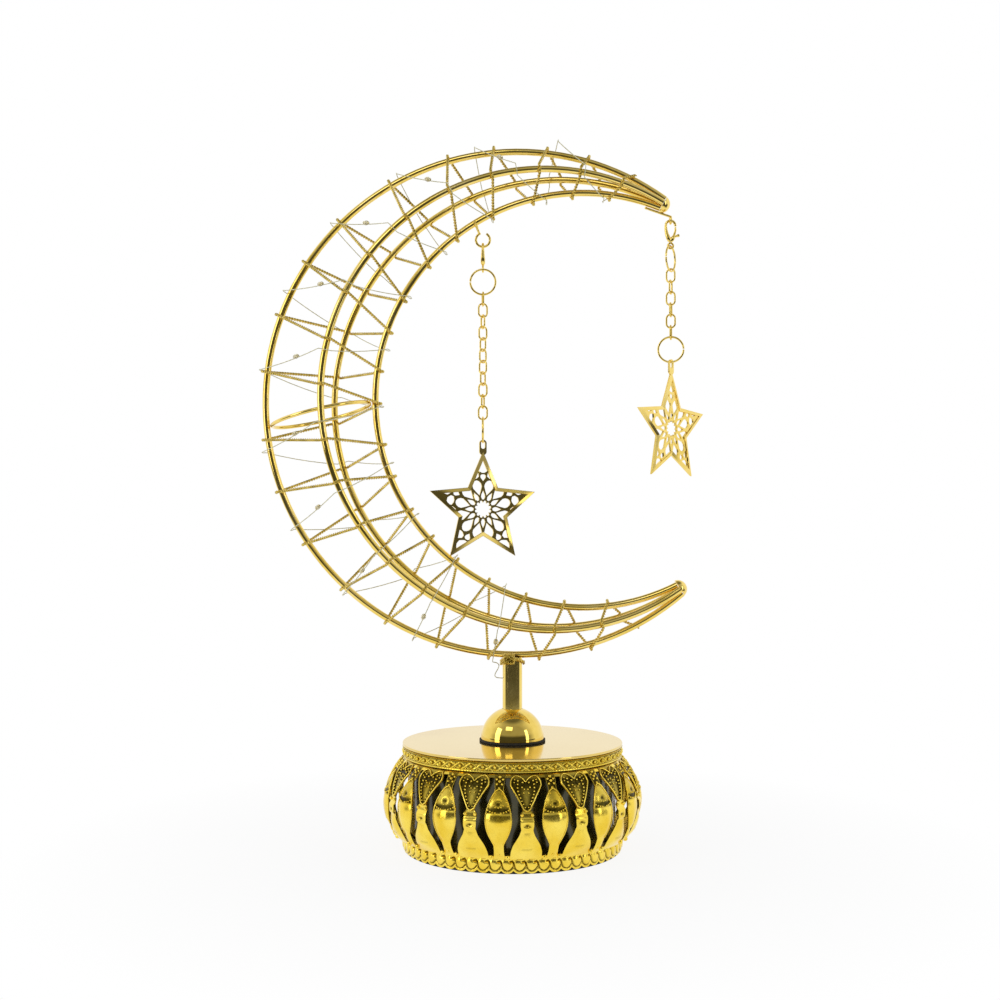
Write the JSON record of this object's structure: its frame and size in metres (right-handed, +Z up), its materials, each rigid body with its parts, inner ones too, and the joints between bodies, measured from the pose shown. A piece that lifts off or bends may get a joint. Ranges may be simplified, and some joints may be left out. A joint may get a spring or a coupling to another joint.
{
  "type": "eid crescent ornament",
  "caption": "Free-standing lit wire crescent on a pierced round base, with two pierced stars hung on chains, a battery case with sliding door and a light switch underneath",
  "frame": {"origin": "middle of the foot pad's underside, on the table", "axes": "+Z up, +X towards the crescent's open side, -Y towards the viewer of the picture"},
  "size_m": [0.225, 0.1254, 0.3527],
  "materials": {
    "plate_gold": "bright polished gold plate, mirror flat",
    "band_gold": "gold plate over an embossed strip",
    "gallery_gold": "bright gold plate over embossed sheet",
    "drum_olive": "dark olive gloss",
    "bottom_gold": "gold satin",
    "zinc": "zinc plated",
    "black_rubber": "matt foam rubber",
    "black_plastic": "fine grain black",
    "cell_sleeve": "printed sleeve, plain",
    "wire_gold": "bright gold plate",
    "plain_brass": "plain brass",
    "dome_gold": "gold mirror",
    "board_green": "board lacquer",
    "twisted_gold": "gold plated twisted wire",
    "light_lacquer": "lacquered wire, grey green",
    "drop_resin": "clear warm resin",
    "door_plastic": "gold coloured, satin",
    "star_gold": "gold plate, mirror"
  },
  "bodies": {
    "root": {"top_plate": "plate_gold", "upper_band": "band_gold", "gallery_band": "gallery_gold", "lower_band": "band_gold", "inner_drum": "drum_olive", "bottom_plate": "bottom_gold", "bottom_screws": "zinc", "foot_pad": "black_rubber", "battery_case": "black_plastic", "batteries": "cell_sleeve", "battery_contacts": "zinc", "switch_body": "black_plastic", "stem_tube": "wire_gold", "stem_nipple": "plain_brass", "lock_nut": "zinc", "nut_washer": "zinc", "dome_cap": "dome_gold", "dome_gasket": "black_rubber", "light_driver": "board_green", "outer_wire": "wire_gold", "inner_wire": "wire_gold", "front_wire": "wire_gold", "back_wire": "wire_gold", "tip_welds": "wire_gold", "spreader_hoop": "wire_gold", "wrap_wire": "twisted_gold", "light_wire": "light_lacquer", "light_drops": "drop_resin", "stem_binding": "twisted_gold", "left_hook": "wire_gold", "tip_eyelet": "wire_gold"},
    "battery_door": {"battery_door": "door_plastic"},
    "switch_knob": {"switch_knob": "black_plastic"},
    "left_clasp": {"left_clasp": "wire_gold"},
    "left_clasp_lever": {"left_clasp_lever": "wire_gold"},
    "left_ring": {"left_ring": "wire_gold"},
    "left_link_1": {"left_link_1": "wire_gold"},
    "left_link_2": {"left_link_2": "wire_gold"},
    "left_link_3": {"left_link_3": "wire_gold"},
    "left_link_4": {"left_link_4": "wire_gold"},
    "left_link_5": {"left_link_5": "wire_gold"},
    "left_link_6": {"left_link_6": "wire_gold"},
    "left_link_7": {"left_link_7": "wire_gold"},
    "left_link_8": {"left_link_8": "wire_gold"},
    "left_link_9": {"left_link_9": "wire_gold"},
    "left_link_10": {"left_link_10": "wire_gold"},
    "left_link_11": {"left_link_11": "wire_gold"},
    "left_star_ring": {"left_star_ring": "wire_gold"},
    "left_star": {"left_star": "star_gold"},
    "right_clasp": {"right_clasp": "wire_gold"},
    "right_clasp_lever": {"right_clasp_lever": "wire_gold"},
    "right_ring": {"right_ring": "wire_gold"},
    "right_link_1": {"right_link_1": "wire_gold"},
    "right_link_2": {"right_link_2": "wire_gold"},
    "right_link_3": {"right_link_3": "wire_gold"},
    "right_link_4": {"right_link_4": "wire_gold"},
    "right_link_5": {"right_link_5": "wire_gold"},
    "right_link_6": {"right_link_6": "wire_gold"},
    "right_star_ring": {"right_star_ring": "wire_gold"},
    "right_star": {"right_star": "star_gold"}
  },
  "joints": [
    {"name": "left_clasp_swing", "type": "hinge", "parent": "root", "child": "left_clasp", "pos_m": [-0.0147, 0, 0.2987], "axis": [1, 0, 0], "range_deg": [-40, 0.5]},
    {"name": "left_ring_swing", "type": "hinge", "parent": "left_clasp", "child": "left_ring", "pos_m": [-0.0147, 0, 0.2861], "axis": [0, -1, 0], "range_deg": [-1, 12]},
    {"name": "left_link_1_swing", "type": "hinge", "parent": "left_ring", "child": "left_link_1", "pos_m": [-0.0147, 0, 0.2747], "axis": [1, 0, 0], "range_deg": [-12, 0.5]},
    {"name": "left_link_2_swing", "type": "hinge", "parent": "left_link_1", "child": "left_link_2", "pos_m": [-0.0147, 0, 0.26905], "axis": [-0.1305, 0.9914, 0], "range_deg": [-6, 1]},
    {"name": "left_link_3_swing", "type": "hinge", "parent": "left_link_2", "child": "left_link_3", "pos_m": [-0.0147, 0, 0.26335], "axis": [-0.9659, -0.2588, 0], "range_deg": [-0.5, 12]},
    {"name": "left_link_4_swing", "type": "hinge", "parent": "left_link_3", "child": "left_link_4", "pos_m": [-0.0147, 0, 0.25765], "axis": [0.3827, -0.9239, 0], "range_deg": [-1, 6]},
    {"name": "left_link_5_swing", "type": "hinge", "parent": "left_link_4", "child": "left_link_5", "pos_m": [-0.0147, 0, 0.25195], "axis": [0.866, 0.5, 0], "range_deg": [-12, 0.5]},
    {"name": "left_link_6_swing", "type": "hinge", "parent": "left_link_5", "child": "left_link_6", "pos_m": [-0.0147, 0, 0.24625], "axis": [-0.6088, 0.7934, 0], "range_deg": [-1, 2]},
    {"name": "left_link_7_swing", "type": "hinge", "parent": "left_link_6", "child": "left_link_7", "pos_m": [-0.0147, 0, 0.24055], "axis": [-0.7071, -0.7071, 0], "range_deg": [-1, 6]},
    {"name": "left_link_8_swing", "type": "hinge", "parent": "left_link_7", "child": "left_link_8", "pos_m": [-0.0147, 0, 0.23485], "axis": [0.7934, -0.6088, 0], "range_deg": [-6, 1]},
    {"name": "left_link_9_swing", "type": "hinge", "parent": "left_link_8", "child": "left_link_9", "pos_m": [-0.0147, 0, 0.22915], "axis": [0.5, 0.866, 0], "range_deg": [-6, 0.8]},
    {"name": "left_link_10_swing", "type": "hinge", "parent": "left_link_9", "child": "left_link_10", "pos_m": [-0.0147, 0, 0.22345], "axis": [-0.9239, 0.3827, 0], "range_deg": [-2.5, 4]},
    {"name": "left_link_11_swing", "type": "hinge", "parent": "left_link_10", "child": "left_link_11", "pos_m": [-0.0147, 0, 0.21775], "axis": [-0.2588, -0.9659, 0], "range_deg": [-1, 6]},
    {"name": "left_star_ring_swing", "type": "hinge", "parent": "left_link_11", "child": "left_star_ring", "pos_m": [-0.0147, 0, 0.21205], "axis": [0.9914, -0.1305, 0], "range_deg": [-10, 1]},
    {"name": "left_star_swing", "type": "hinge", "parent": "left_star_ring", "child": "left_star", "pos_m": [-0.0147, 0, 0.20055], "axis": [0, -1, 0], "range_deg": [-2, 12]},
    {"name": "right_clasp_swing", "type": "hinge", "parent": "root", "child": "right_clasp", "pos_m": [0.0793, 0, 0.31045], "axis": [0, -1, 0], "range_deg": [-30, 30]},
    {"name": "right_ring_swing", "type": "hinge", "parent": "right_clasp", "child": "right_ring", "pos_m": [0.0793, 0, 0.29785], "axis": [1, 0, 0], "range_deg": [-15, 15]},
    {"name": "right_link_1_swing", "type": "hinge", "parent": "right_ring", "child": "right_link_1", "pos_m": [0.0793, 0, 0.28645], "axis": [0.4695, 0.8829, 0], "range_deg": [-20, 20]},
    {"name": "right_link_2_swing", "type": "hinge", "parent": "right_link_1", "child": "right_link_2", "pos_m": [0.0793, 0, 0.2808], "axis": [-0.9011, 0.4337, 0], "range_deg": [-20, 20]},
    {"name": "right_link_3_swing", "type": "hinge", "parent": "right_link_2", "child": "right_link_3", "pos_m": [0.0793, 0, 0.2751], "axis": [-0.3971, -0.9178, 0], "range_deg": [-20, 20]},
    {"name": "right_link_4_swing", "type": "hinge", "parent": "right_link_3", "child": "right_link_4", "pos_m": [0.0793, 0, 0.2694], "axis": [0.933, -0.36, 0], "range_deg": [-20, 20]},
    {"name": "right_link_5_swing", "type": "hinge", "parent": "right_link_4", "child": "right_link_5", "pos_m": [0.0793, 0, 0.2637], "axis": [0.3223, 0.9466, 0], "range_deg": [-20, 20]},
    {"name": "right_link_6_swing", "type": "hinge", "parent": "right_link_5", "child": "right_link_6", "pos_m": [0.0793, 0, 0.258], "axis": [-0.9588, 0.284, 0], "range_deg": [-20, 20]},
    {"name": "right_star_ring_swing", "type": "hinge", "parent": "right_link_6", "child": "right_star_ring", "pos_m": [0.0793, 0, 0.2523], "axis": [-0.2453, -0.9694, 0], "range_deg": [-25, 25]},
    {"name": "right_star_swing", "type": "hinge", "parent": "right_star_ring", "child": "right_star", "pos_m": [0.0793, 0, 0.2408], "axis": [-0.9781, 0.2079, 0], "range_deg": [-15, 15]},
    {"name": "left_lever_press", "type": "hinge", "parent": "left_clasp", "child": "left_clasp_lever", "pos_m": [-0.0147, 0.0011, 0.291], "axis": [1, 0, 0], "range_deg": [0, 15], "stiffness_Nm_per_rad": 0.0004},
    {"name": "right_lever_press", "type": "hinge", "parent": "right_clasp", "child": "right_clasp_lever", "pos_m": [0.0804, 0, 0.30275], "axis": [0, -1, 0], "range_deg": [0, 15], "stiffness_Nm_per_rad": 0.0004},
    {"name": "switch_slide", "type": "slide", "parent": "root", "child": "switch_knob", "axis": [1, 0, 0], "range_m": [0, 0.003]},
    {"name": "battery_door_slide", "type": "slide", "parent": "root", "child": "battery_door", "axis": [0, -1, 0], "range_m": [0, 0.005]}
  ]
}
